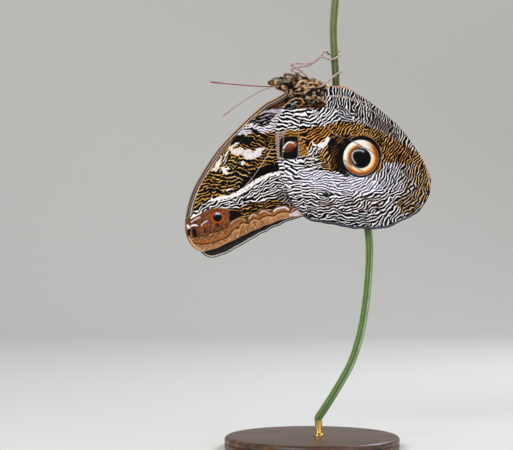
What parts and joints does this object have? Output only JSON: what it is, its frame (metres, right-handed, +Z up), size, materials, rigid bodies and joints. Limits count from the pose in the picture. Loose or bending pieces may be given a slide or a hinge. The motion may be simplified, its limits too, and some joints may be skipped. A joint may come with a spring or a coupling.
{
  "type": "owl butterfly display model",
  "caption": "Owl butterfly at rest with closed patterned wings, clinging under a curved green stem that stands on a small round wooden base.",
  "frame": {"origin": "centre of the stand base's underside", "axes": "+Z up, -X towards the head, -Y the animal's right side"},
  "size_m": [0.0984, 0.07, 0.1815],
  "materials": {
    "body_scales": "soft brown and ochre hair scales, matt",
    "wing": "wing scales in white, grey, ochre, rust and black, matt with a faint silk",
    "eye": "olive grey compound eye, finely faceted",
    "feeler": "reddish brown, ringed, satin",
    "leg": "pinkish beige, finely scaled",
    "stem": "fresh green plant stem with faint lengthwise ribs",
    "wood": "dark turned hardwood, satin lacquer",
    "brass": "turned brass, satin"
  },
  "bodies": {
    "root": {"abdomen": "body_scales", "antenna_left": "feeler", "antenna_right": "feeler", "eye_left": "eye", "eye_right": "eye", "head": "body_scales", "leg_fore_left": "leg", "leg_fore_right": "leg", "leg_hind_left": "leg", "leg_hind_right": "leg", "leg_mid_left": "leg", "leg_mid_right": "leg", "palp_left": "body_scales", "palp_right": "body_scales", "stand_base": "wood", "stand_rod": "brass", "stem": "stem", "thorax": "body_scales", "wing_fore_left": "wing", "wing_fore_right": "wing", "wing_hind_left": "wing", "wing_hind_right": "wing"}
  },
  "joints": []
}
